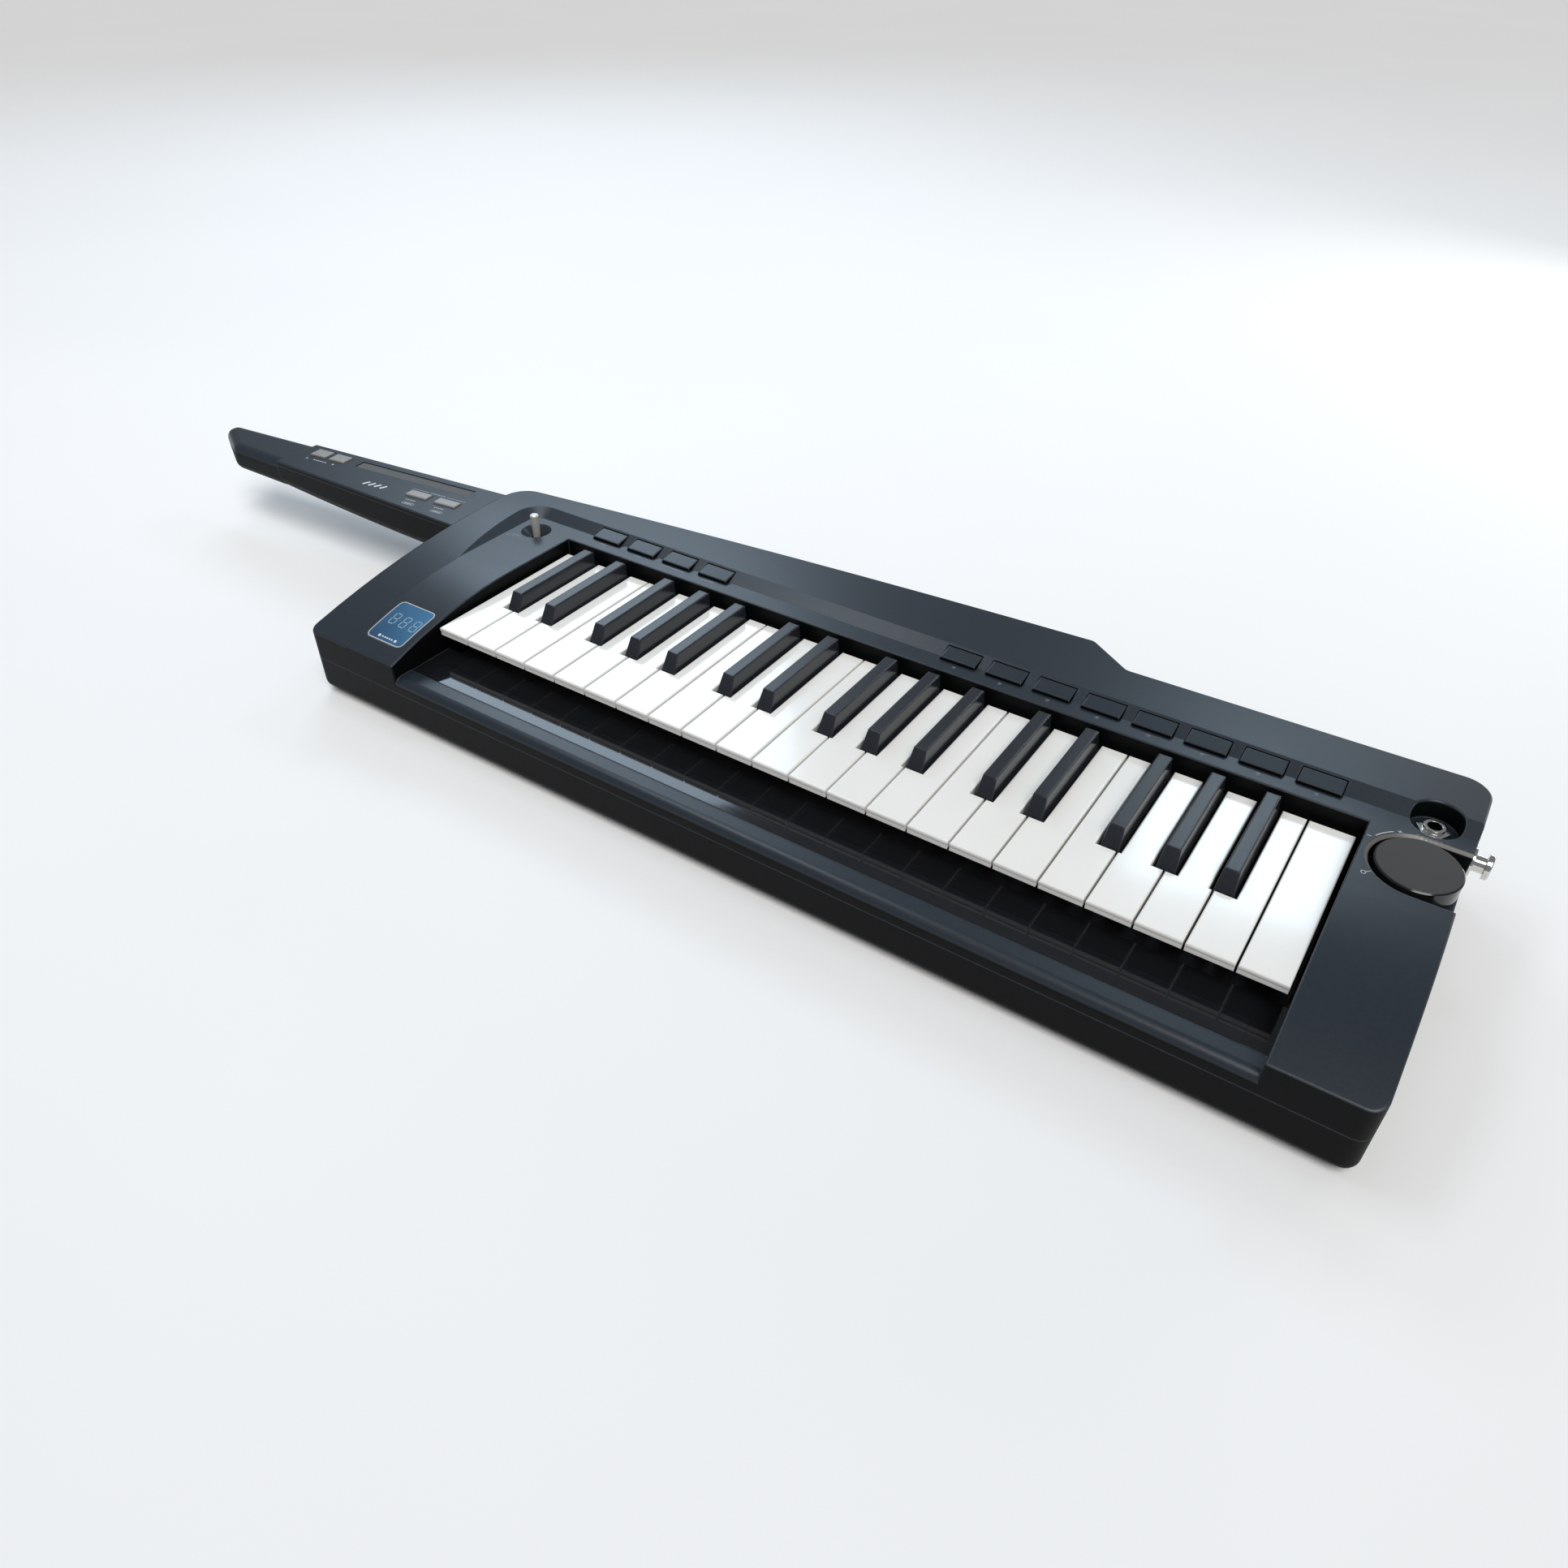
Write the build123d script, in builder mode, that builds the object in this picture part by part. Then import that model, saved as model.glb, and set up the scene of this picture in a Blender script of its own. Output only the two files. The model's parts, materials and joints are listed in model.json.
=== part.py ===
from build123d import *
import os
from math import atan, degrees, sqrt

# Shoulder keyboard synthesizer with a 37-key slim keyboard, a neck with its own controls,
# a ribbon in front of the keys, a panel behind them and a large volume knob. Millimetres.
#
# Places are measured from the key datum: x from the left side of the lowest white key,
# y from the front faces of the white keys (positive towards the rear panel) and
# z from the tops of the white keys. The three plane functions below turn them into
# the row's frame, whose origin is under the middle of the object, on the surface it lies on.

# Keyboard
key_pitch = 21.6
octave_count = 3
key_gap = 1.0
white_length = 107.5
white_lip_height = 4.9
white_plate = 1.9
white_wall = 1.3
lip_inset = 0.4
black_front = 38.2
black_length = 68.1
black_height = 8.3
black_root_width = 9.5
black_top_width = 6.8
black_front_slope = 5.6
black_side_gap = 1.2
black_root_depth = 3.6
key_edge_radius = 0.7
arm_width = 8.0
arm_thickness = 3.0
arm_drop = 7.0
arm_overlap = 11.0
pivot_setback = 24.5
journal_radius = 3.0
running_clearance = 0.35
black_offsets = {"cs": -0.09, "ds": 0.09, "fs": -0.19, "gs": 0.0, "as": 0.19}

# Case
front_depth = 35.6
rail_depth = 12.9
left_cheek_width = 70.8
bed_side_gap = 1.8
bed_rear_gap = 3.8
panel_height = 7.8
cheek_front_drop = 9.3
arch_length = 95.6
plateau_rise = 4.0
plateau_arch_length = 160.6
band_drop = 0.5
panel_strip_depth = 12.2
ramp_run = 9.0
ramp_corner_radius = 8.0
left_band_width = 32.5
rear_left_depth = 32.0
rear_peak_depth = 67.7
rear_bulge = 3.5
step_from_right = 202.0
step_run = 25.0
step_depth = 17.5
right_rear_slope = 4.0
corner_radius_rear_left = 17.0
corner_radius_rear_right = 13.0
corner_radius_front = 7.0
corner_radius_step = 6.0
wall = 2.6
skin = 3.0
case_depth_below_keys = 47.0
split_depth = 26.0
foot_height = 3.0
foot_radius = 9.0
foot_inset = 24.0
top_edge_radius = 1.1
bed_edge_radius = 0.8
bottom_edge_radius = 5.0
trough_depth = 17.3
trough_floor_reach = 6.0
rail_drop = 16.8
rail_edge_radius = 5.0
ribbon_width = 15.0
ribbon_thickness = 1.0
ribbon_end_gap = 9.0
fit_gap = 0.15

# Panel controls
cap_width = 20.2
cap_depth = 10.0
cap_gap = 0.45
cap_lead = 2.6
cap_front_proud = 1.7
cap_rear_proud = 3.3
cap_travel = 0.8
cap_flange = 1.0
cap_flange_thickness = 1.2
cap_edge_radius = 0.6
function_first_x = 20.9
function_pitch = 27.3
function_count = 4
program_first_x = 265.0
program_pitch = 26.75
program_count = 8

# Toggle on the left cheek
toggle_inset = 24.2
toggle_from_bed_rear = 3.0
toggle_proud = 11.0
toggle_radius = 2.8
toggle_root_radius = 1.9
toggle_ball_radius = 2.7
toggle_pivot_depth = 12.2
dish_radius = 9.4
dish_depth = 5.2
dish_hole_radius = 4.1

# Volume knob and output jack on the right cheek
knob_radius = 18.3
knob_height = 8.6
knob_proud = 0.9
knob_edge_chamfer = 0.8
knob_from_bed_rear = 1.0
knob_from_bed_side = 6.3
knob_side_inset = 0.4
knob_shaft_radius = 3.0
knob_shaft_length = 12.0
recess_gap = 1.9
recess_depth = 9.6
recess_chamfer = 1.4
jack_from_bed_rear = 15.6
jack_from_right = 18.0
jack_recess_radius = 11.2
jack_recess_depth = 5.8
jack_bore_radius = 3.2
jack_bush_radius = 4.7
jack_nut_flats = 13.0
jack_nut_height = 2.6
jack_bush_proud = 1.4
jack_body_size = 17.0
jack_body_depth = 17.0
pocket_wall = 2.4

# Display window on the left cheek
display_width = 28.5
display_length = 30.4
display_from_bed = 5.4
display_front = -23.9
display_corner_radius = 3.6
display_thickness = 1.6
display_sink = 0.15

# Neck
neck_length = 255.6
neck_front = 82.8
neck_root_width = 53.4
neck_tip_width = 27.5
neck_cover_length = 176.0
neck_cover_thickness = 3.0
neck_depth = 25.0
neck_grip_depth = 19.0
neck_tip_slant = 30.0
neck_tip_flat = 11.0
neck_tip_radius = 5.0
neck_tip_front_radius = 14.0
neck_edge_radius = 7.0
grip_top_radius = 6.5
grip_bottom_radius = 6.0
neck_wall = 3.2
neck_cavity_depth = 9.0
neck_belly = 1.5
tenon_length = 18.0
tenon_height = 10.0
tenon_width = 30.0
short_ribbon_length = 100.0
short_ribbon_width = 9.0
short_ribbon_recess = 1.6
short_ribbon_from_body = 25.0
short_ribbon_from_rear = 6.2
neck_cap_gap = 0.35
neck_cap_proud = 1.3
octave_cap_size = (13.2, 9.4)
octave_cap_from_body = (158.6, 141.2)
octave_cap_from_front = (26.2, 27.6)
mode_cap_size = (17.2, 7.0)
mode_cap_from_body = (52.1, 27.7)
mode_cap_from_front = (18.4, 20.4)

# Strap pins
pin_flange_radius = 7.0
pin_flange_thickness = 2.0
pin_waist_radius = 4.0
pin_waist_length = 5.0
pin_head_radius = 6.2
pin_head_thickness = 2.6
pin_round = 0.9
pin_depth = 8.0
end_pin_from_bed_rear = 19.0
neck_pin_ahead = 30.0

# Inner parts
frame_plate = 2.0
frame_side_gap = 1.0
frame_front = 8.0
hinge_rail_depth = 16.0
hinge_slot_height = 4.8
board_thickness = 1.6
board_depth = 30.0
board_front_gap = 3.0
board_end_inset = 6.0
board_boss_x = (62.0, 210.0, 410.0)
boss_radius = 4.0
screw_radius = 1.5
screw_head_radius = 3.0
screw_head_height = 2.4
screw_clearance = 0.1
screw_bite = 9.0
rear_screw_from_step = (190.3, 18.3)
battery_door_size = (150.0, 62.0)
battery_door_center = (120.0, 60.0)
battery_door_thickness = 2.0
battery_door_gap = 0.4
door_groove_size = (26.0, 2.0)
door_groove_depth = 0.8
door_groove_pitch = 4.5
door_groove_count = 4
rib_thickness = 2.6

# Worked-out places
white_count = 7 * octave_count + 1
keys_width = white_count * key_pitch
bed_left = -bed_side_gap
bed_right = keys_width + bed_side_gap
bed_rear = white_length + bed_rear_gap
body_left = bed_left - left_cheek_width
body_right = bed_right + knob_from_bed_side + 2 * knob_radius + knob_side_inset
body_front = -front_depth
rail_rear = body_front + rail_depth
rear_left = bed_rear + rear_left_depth
rear_peak = bed_rear + rear_peak_depth
step_left_x = body_right - step_from_right
step_right_x = step_left_x + step_run
neck_tip = body_left - neck_length
plateau_height = panel_height + plateau_rise
arch_rear = body_front + arch_length
ramp_foot = bed_rear + panel_strip_depth
ramp_left = body_left + left_band_width
pin_length = pin_flange_thickness + pin_waist_length + pin_head_thickness
key_top_height = case_depth_below_keys + foot_height
pivot_y = white_length + pivot_setback
pivot_z = -arm_drop - arm_thickness / 2
under_panel = panel_height - skin
arch_middle_height = panel_height - (panel_height + cheek_front_drop) / 4
corner_in = corner_radius_front * (1 - sqrt(0.5))
neck_rear = neck_front + neck_root_width
toggle_x = bed_left - toggle_inset
toggle_y = bed_rear - toggle_from_bed_rear
knob_x = body_right - knob_radius - knob_side_inset
knob_y = bed_rear - knob_from_bed_rear - knob_radius
jack_x = body_right - jack_from_right
jack_y = bed_rear + jack_from_bed_rear
ribbon_left = ribbon_end_gap
ribbon_right = keys_width - ribbon_end_gap
flange_top = under_panel - running_clearance
board_top = flange_top - cap_flange_thickness - cap_travel - running_clearance
neck_slope = (neck_root_width - neck_tip_width) / neck_length
neck_angle = degrees(atan(neck_slope))
neck_seam = body_left - neck_cover_length
cover_bottom = panel_height - neck_cover_thickness
rear_slope = (rear_peak - rear_left) / (step_left_x - body_left)
far = 2000.0
upright_limit = 0.05

# The row's origin is under the middle of the whole object
origin_x = (neck_tip + body_right + pin_length) / 2
origin_y = (body_front + rear_peak) / 2


def level(z):
    """Horizontal plane at height z over the tops of the white keys."""
    return Plane(origin=(-origin_x, -origin_y, key_top_height + z))


def across(x):
    """Upright plane across the keyboard at x; its own axes are Y and Z."""
    start = (x - origin_x, -origin_y, key_top_height)
    return Plane(origin=start, x_dir=(0, 1, 0), z_dir=(1, 0, 0))


def along(y):
    """Upright plane along the keyboard at y, facing the front; its own axes are X and Z."""
    start = (-origin_x, y - origin_y, key_top_height)
    return Plane(origin=start, x_dir=(1, 0, 0), z_dir=(0, -1, 0))


def rectangle(x_low, x_high, y_low, y_high):
    """Rectangle in the sketch being made, by its edges."""
    with Locations(((x_low + x_high) / 2, (y_low + y_high) / 2)):
        Rectangle(x_high - x_low, y_high - y_low)


def save(part, name):
    part.label = name
    export_step(part, "parts/" + name + ".step")


def block(x_low, x_high, y_low, y_high, z_low, z_high, mode=Mode.ADD):
    """Upright block in the part being made."""
    with BuildSketch(level(z_low)) as plan:
        rectangle(x_low, x_high, y_low, y_high)
    extrude(plan.sketch, amount=z_high - z_low, mode=mode)


def drum(x, y, radius, z_low, z_high, mode=Mode.ADD):
    """Upright cylinder in the part being made."""
    with BuildSketch(level(z_low)) as plan:
        with Locations((x, y)):
            Circle(radius)
    extrude(plan.sketch, amount=z_high - z_low, mode=mode)


def edges_at(part, *places):
    """Edge of a part nearest to each place."""
    spots = [(x - origin_x, y - origin_y, key_top_height + z) for x, y, z in places]
    return [part.edges().sort_by_distance(spot)[0] for spot in spots]


def rim_of_top(part):
    """Edges where a part's highest flat face meets an upright wall."""
    top = part.faces().filter_by(Axis.Z).group_by(Axis.Z)[-1][0]
    walls = [f for f in part.faces() if abs(f.normal_at(f.center()).Z) < upright_limit]
    wall_edges = [edge for wall in walls for edge in wall.edges()]
    return [edge for edge in top.edges() if any(edge.is_same(other) for other in wall_edges)]


def case_outline(inset=0.0):
    """Plan outline of the body: straight front and sides, bowed rear edge with a step."""
    rear_right = rear_peak - step_depth
    bow = ((body_left + step_left_x) / 2, (rear_left + rear_peak) / 2 + rear_bulge)
    with BuildSketch(mode=Mode.PRIVATE) as outline:
        with BuildLine():
            front = Line((body_left, body_front), (body_right, body_front))
            Line(front @ 1, (body_right, rear_right + right_rear_slope))
            Line((body_right, rear_right + right_rear_slope), (step_right_x, rear_right))
            Line((step_right_x, rear_right), (step_left_x, rear_peak))
            ThreePointArc((step_left_x, rear_peak), bow, (body_left, rear_left))
            Line((body_left, rear_left), front @ 0)
        make_face()
        rounds = [
            ((body_left, body_front), corner_radius_front),
            ((body_right, body_front), corner_radius_front),
            ((body_left, rear_left), corner_radius_rear_left),
            ((body_right, rear_right + right_rear_slope), corner_radius_rear_right),
            ((step_left_x, rear_peak), corner_radius_step),
            ((step_right_x, rear_right), corner_radius_step),
        ]
        for corner, radius in rounds:
            fillet(outline.vertices().sort_by_distance(corner)[0], radius)
        if inset:
            offset(amount=-inset, kind=Kind.INTERSECTION)
    return outline.sketch


def under_profile(low_by, arch_end, top, front_height):
    """Section of the space under the body's arched top, lowered by low_by."""
    run_out = body_front - wall
    middle = (run_out + arch_end) / 2
    drop = (top - front_height) / 4
    back = rear_peak + wall
    with BuildSketch(mode=Mode.PRIVATE) as section:
        with BuildLine():
            start = (run_out, front_height - low_by)
            end = (arch_end, top - low_by)
            ThreePointArc(start, (middle, top - drop - low_by), end)
            Polyline(end, (back, top - low_by), (back, -far), (run_out, -far), start)
        make_face()
    return section.sketch


def panel_profile(low_by=0.0):
    return under_profile(low_by, arch_rear, panel_height, -cheek_front_drop)


def band_profile():
    arch_end = body_front + plateau_arch_length
    return under_profile(0.0, arch_end, plateau_height, -cheek_front_drop - band_drop)


def ramp_region():
    """Plan of the sunk panel inside the raised outer band."""
    with BuildSketch(mode=Mode.PRIVATE) as region:
        rectangle(ramp_left, body_right + far, body_front - far, ramp_foot)
        fillet(region.vertices().group_by(Axis.X)[0].sort_by(Axis.Y)[-1], ramp_corner_radius)
    return region.sketch


def u_recess(radius):
    """Plan of the knob's well: round towards the keys and open at the body's side."""
    with BuildSketch(mode=Mode.PRIVATE) as plan:
        with Locations((knob_x, knob_y)):
            Circle(radius)
        rectangle(knob_x, body_right + far, knob_y - radius, knob_y + radius)
    return plan.sketch


def panel_caps(first_x, pitch, count):
    return [(first_x + i * pitch, ramp_foot - cap_lead + cap_depth / 2) for i in range(count)]


def neck_points(from_body, from_front):
    return [(body_left - a, neck_front + b) for a, b in zip(from_body, from_front)]


function_places = panel_caps(function_first_x, function_pitch, function_count)
program_places = panel_caps(program_first_x, program_pitch, program_count)
octave_places = neck_points(octave_cap_from_body, octave_cap_from_front)
mode_places = neck_points(mode_cap_from_body, mode_cap_from_front)
display_x = bed_left - display_from_bed - display_width / 2
display_y = display_front + display_length / 2
screw_places = [
    (body_left + foot_inset / 2, body_front + foot_inset / 2),
    (body_left + foot_inset / 2, rear_left - foot_inset / 2),
    (body_right - foot_inset / 2, body_front + foot_inset / 2),
    (body_right - foot_inset / 2, rear_peak - step_depth - foot_inset / 2),
]
for from_step in rear_screw_from_step:
    screw_x = step_left_x - from_step
    screw_y = rear_left + rear_slope * (screw_x - body_left) - 2 * boss_radius
    screw_places.append((screw_x, screw_y))
board_boss_places = [(x, ramp_foot + 4 * boss_radius) for x in board_boss_x]
foot_places = [
    (body_left + foot_inset, body_front + foot_inset),
    (body_left + foot_inset, rear_left - foot_inset),
    (body_right - foot_inset, body_front + foot_inset),
    (body_right - foot_inset, rear_peak - step_depth - foot_inset),
]

tenon_front = neck_front + (neck_root_width - tenon_width) / 2
tenon_rear = tenon_front + tenon_width
tenon_low = cover_bottom - neck_cavity_depth - tenon_height
ribbon_x = body_left - short_ribbon_from_body - short_ribbon_length / 2
ribbon_y = (neck_rear - (body_left - ribbon_x) * neck_slope
            - short_ribbon_from_rear - short_ribbon_width / 2)


def display_outline(clearance=0.0):
    with BuildSketch(mode=Mode.PRIVATE) as plan:
        with Locations((display_x, display_y)):
            RectangleRounded(display_width + 2 * clearance, display_length + 2 * clearance,
                             display_corner_radius + clearance)
    return plan.sketch


os.makedirs("parts", exist_ok=True)

# Upper half of the case: raised outer band, sunk panel, arched cheeks, front rail and trough
with BuildPart() as panel_body:
    with BuildSketch(level(-split_depth)):
        add(case_outline())
    extrude(amount=split_depth + plateau_height)
    with BuildSketch(across(body_left)):
        add(panel_profile())
    extrude(amount=body_right - body_left, mode=Mode.INTERSECT)
    with BuildSketch(level(-split_depth)):
        add(ramp_region())
    extrude(amount=split_depth + plateau_height, mode=Mode.INTERSECT)

with BuildPart() as top_case:
    with BuildSketch(level(-split_depth)):
        add(case_outline())
    extrude(amount=split_depth + plateau_height)
    with BuildSketch(across(body_left)):
        add(band_profile())
    extrude(amount=body_right - body_left, mode=Mode.INTERSECT)
    with BuildSketch(level(panel_height)):
        add(ramp_region())
    extrude(amount=plateau_rise + 1, taper=-degrees(atan(ramp_run / plateau_rise)),
            mode=Mode.SUBTRACT)
    with BuildSketch(level(-split_depth)):
        rectangle(ramp_left, body_right + far, body_front - far, arch_rear)
    extrude(amount=far, mode=Mode.SUBTRACT)
    add(panel_body.part)

    # Hollow inside, and the long opening for the keys
    with BuildPart(mode=Mode.PRIVATE) as cavity:
        with BuildSketch(level(-split_depth)):
            add(case_outline(wall))
        extrude(amount=split_depth + panel_height)
        with BuildSketch(across(body_left)):
            add(panel_profile(skin))
        extrude(amount=body_right - body_left, mode=Mode.INTERSECT)
        block(bed_left - wall, bed_right + wall, rail_rear - wall, bed_rear + wall,
              -split_depth, panel_height, mode=Mode.SUBTRACT)
        block(bed_left - wall, bed_right + wall, body_front, rail_rear,
              -rail_drop - skin, panel_height, mode=Mode.SUBTRACT)
        for x, y in screw_places:
            drum(x, y, boss_radius, -split_depth, panel_height, mode=Mode.SUBTRACT)
        for x, y in board_boss_places:
            drum(x, y, boss_radius, board_top, panel_height, mode=Mode.SUBTRACT)
    add(cavity.part, mode=Mode.SUBTRACT)
    for x, y in screw_places:
        drum(x, y, screw_radius + screw_clearance, -split_depth, -split_depth + screw_bite,
             mode=Mode.SUBTRACT)
    block(bed_left, bed_right, body_front - 1, rail_rear, -rail_drop, far, mode=Mode.SUBTRACT)
    block(bed_left, bed_right, rail_rear - 1, bed_rear, -trough_depth, far, mode=Mode.SUBTRACT)
    block(bed_left, bed_right, trough_floor_reach, bed_rear, -split_depth, 0, mode=Mode.SUBTRACT)
    block(bed_left, bed_right, rail_rear, trough_floor_reach,
          -split_depth, -trough_depth - skin, mode=Mode.SUBTRACT)
    block(bed_left - wall - 1, bed_right + wall + 1, bed_rear - 1, bed_rear + wall + 1,
          -split_depth, -white_lip_height + 1, mode=Mode.SUBTRACT)
    block(ribbon_left, ribbon_right, rail_rear, rail_rear + ribbon_width,
          -trough_depth - ribbon_thickness, -trough_depth, mode=Mode.SUBTRACT)

    # Wells for the knob, the jack, the toggle and the display
    with BuildSketch(level(-recess_depth + panel_height - pocket_wall)):
        add(u_recess(knob_radius + recess_gap + pocket_wall))
    extrude(amount=recess_depth)
    drum(jack_x, jack_y, jack_recess_radius + pocket_wall,
         panel_height - jack_recess_depth - pocket_wall, under_panel)
    drum(toggle_x, toggle_y, dish_radius + pocket_wall / 2,
         panel_height - dish_depth - pocket_wall, under_panel)
    with BuildPart(mode=Mode.PRIVATE) as outer_space:
        block(body_right, body_right + far, body_front, rear_peak, -split_depth, far)
    add(outer_space.part, mode=Mode.SUBTRACT)
    with BuildSketch(level(panel_height - recess_depth)):
        add(u_recess(knob_radius + recess_gap))
    extrude(amount=recess_depth + plateau_rise, mode=Mode.SUBTRACT)
    with BuildSketch(level(panel_height - recess_chamfer)):
        add(u_recess(knob_radius + recess_gap))
    extrude(amount=recess_chamfer + 1, taper=-45, mode=Mode.SUBTRACT)
    drum(jack_x, jack_y, jack_recess_radius, panel_height - jack_recess_depth,
         plateau_height + 1, mode=Mode.SUBTRACT)
    drum(jack_x, jack_y, jack_bush_radius + fit_gap, -split_depth,
         panel_height, mode=Mode.SUBTRACT)
    drum(knob_x, knob_y, knob_shaft_radius + running_clearance, -split_depth,
         panel_height, mode=Mode.SUBTRACT)
    with BuildSketch(level(panel_height - dish_depth)):
        with Locations((toggle_x, toggle_y)):
            Circle(dish_hole_radius)
    extrude(amount=dish_depth, taper=-degrees(atan((dish_radius - dish_hole_radius) / dish_depth)),
            mode=Mode.SUBTRACT)
    drum(toggle_x, toggle_y, dish_hole_radius, -split_depth, panel_height, mode=Mode.SUBTRACT)

    # Slots for the panel's caps, the display's seat and the neck's tenon
    for x, y in function_places + program_places:
        half_x = cap_width / 2 + cap_gap
        half_y = cap_depth / 2 + cap_gap
        block(x - half_x, x + half_x, y - half_y, y + half_y,
              board_top, plateau_height + 1, mode=Mode.SUBTRACT)
    with BuildPart(mode=Mode.PRIVATE) as display_seat:
        with BuildSketch(level(-cheek_front_drop - skin)):
            add(display_outline(fit_gap))
        extrude(amount=cheek_front_drop + skin + plateau_height)
        with BuildSketch(across(body_left)):
            add(panel_profile(display_sink + display_thickness))
        extrude(amount=body_right - body_left, mode=Mode.SUBTRACT)
    add(display_seat.part, mode=Mode.SUBTRACT)
    block(body_left - 1, body_left + wall + 1, tenon_front - fit_gap, tenon_rear + fit_gap,
          tenon_low - fit_gap, tenon_low + tenon_height + fit_gap, mode=Mode.SUBTRACT)

    # Rounded edges: front rail, outer band, right cheek, left cheek's front, opening for the keys
    bed_middle = (bed_left + bed_right) / 2
    arch_middle = body_front + arch_length / 2
    flat_middle = (arch_rear + knob_y - knob_radius - recess_gap) / 2
    fillet(edges_at(top_case, (bed_middle, body_front, -rail_drop)), rail_edge_radius)
    band = edges_at(
        top_case,
        (body_left, body_front + plateau_arch_length / 2, arch_middle_height + plateau_rise / 2),
        (body_left + corner_in, body_front + corner_in, -cheek_front_drop),
        ((body_left + ramp_left) / 2, body_front, -cheek_front_drop - band_drop),
    )
    fillet(rim_of_top(top_case) + band, top_edge_radius)
    right_cheek = edges_at(
        top_case,
        (body_right, arch_middle, arch_middle_height),
        (body_right, flat_middle, panel_height),
        (body_right - corner_in, body_front + corner_in, -cheek_front_drop),
        ((bed_right + body_right) / 2, body_front, -cheek_front_drop),
    )
    fillet(right_cheek, top_edge_radius)
    bed_rim = [(bed_middle, bed_rear, panel_height)]
    for x in (bed_left, bed_right):
        bed_rim += [(x, arch_middle, arch_middle_height), (x, (arch_rear + bed_rear) / 2, panel_height)]
    fillet(edges_at(top_case, *bed_rim), bed_edge_radius)
    inner_front = ((ramp_left + bed_left) / 2, body_front, -cheek_front_drop)
    fillet(edges_at(top_case, inner_front), bed_edge_radius)
save(top_case.part, "top_case")

# Lower half of the case: a tray with ribs for the key frame, screw posts and a battery bay
floor_top = -case_depth_below_keys + wall
door_left = battery_door_center[0] - battery_door_size[0] / 2
door_right = battery_door_center[0] + battery_door_size[0] / 2
door_front = battery_door_center[1] - battery_door_size[1] / 2
door_back = battery_door_center[1] + battery_door_size[1] / 2
with BuildPart() as bottom_case:
    with BuildSketch(level(-case_depth_below_keys)):
        add(case_outline())
    extrude(amount=case_depth_below_keys - split_depth)
    fillet(bottom_case.edges().group_by(Axis.Z)[0], bottom_edge_radius)
    with BuildSketch(level(floor_top)):
        add(case_outline(wall))
    extrude(amount=far, mode=Mode.SUBTRACT)
    for rib_y in (trough_floor_reach + 4 * rib_thickness, pivot_y):
        block(bed_left, bed_right, rib_y - rib_thickness / 2, rib_y + rib_thickness / 2,
              floor_top, -split_depth)
    for x, y in screw_places:
        drum(x, y, boss_radius, floor_top, -split_depth)
        drum(x, y, screw_radius + screw_clearance, -case_depth_below_keys, -split_depth,
             mode=Mode.SUBTRACT)
        drum(x, y, screw_head_radius + screw_clearance, -case_depth_below_keys,
             -case_depth_below_keys + 2 * screw_head_height, mode=Mode.SUBTRACT)
    block(door_left - battery_door_gap, door_right + battery_door_gap,
          door_front - battery_door_gap, door_back + battery_door_gap,
          -case_depth_below_keys, -case_depth_below_keys + battery_door_thickness,
          mode=Mode.SUBTRACT)
    block(door_left + wall, door_right - wall, door_front + wall, door_back - wall,
          -case_depth_below_keys, floor_top, mode=Mode.SUBTRACT)
save(bottom_case.part, "bottom_case")

# Battery door, flush with the underside
with BuildPart() as battery_door:
    block(door_left, door_right, door_front, door_back,
          -case_depth_below_keys, -case_depth_below_keys + battery_door_thickness)
    door_middle = (door_left + door_right) / 2
    for i in range(door_groove_count):
        groove_y = door_back - (i + 2) * door_groove_pitch
        block(door_middle - door_groove_size[0] / 2, door_middle + door_groove_size[0] / 2,
              groove_y, groove_y + door_groove_size[1],
              -case_depth_below_keys, -case_depth_below_keys + door_groove_depth,
              mode=Mode.SUBTRACT)
save(battery_door.part, "battery_door")

# Case screws, driven from below, one group
with BuildPart() as case_screws:
    for x, y in screw_places:
        head_top = -case_depth_below_keys + 2 * screw_head_height
        drum(x, y, screw_head_radius, head_top - screw_head_height, head_top)
        drum(x, y, screw_radius, head_top, -split_depth + screw_bite - screw_clearance)
save(case_screws.part, "case_screws")

# Rubber feet
with BuildPart() as rubber_feet:
    for x, y in foot_places:
        drum(x, y, foot_radius, -key_top_height, -case_depth_below_keys)
    fillet(rubber_feet.edges().group_by(Axis.Z)[0], foot_height / 4)
save(rubber_feet.part, "rubber_feet")

# Key frame: a plate on the tray's ribs with the hinge rail that holds every key's journal
frame_top = -split_depth + frame_plate
with BuildPart() as key_frame:
    with BuildSketch(across(bed_left + frame_side_gap)) as frame_section:
        rectangle(frame_front, pivot_y + hinge_rail_depth / 2, -split_depth, frame_top)
        rectangle(pivot_y - hinge_rail_depth / 3, pivot_y + hinge_rail_depth / 2,
                  -split_depth, pivot_z + journal_radius + frame_plate)
        with Locations((pivot_y, pivot_z)):
            Circle(journal_radius + running_clearance, mode=Mode.SUBTRACT)
        with Locations((pivot_y - hinge_rail_depth / 2, pivot_z)):
            Rectangle(hinge_rail_depth, hinge_slot_height, mode=Mode.SUBTRACT)
    extrude(amount=bed_right - bed_left - 2 * frame_side_gap)
save(key_frame.part, "key_frame")


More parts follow.
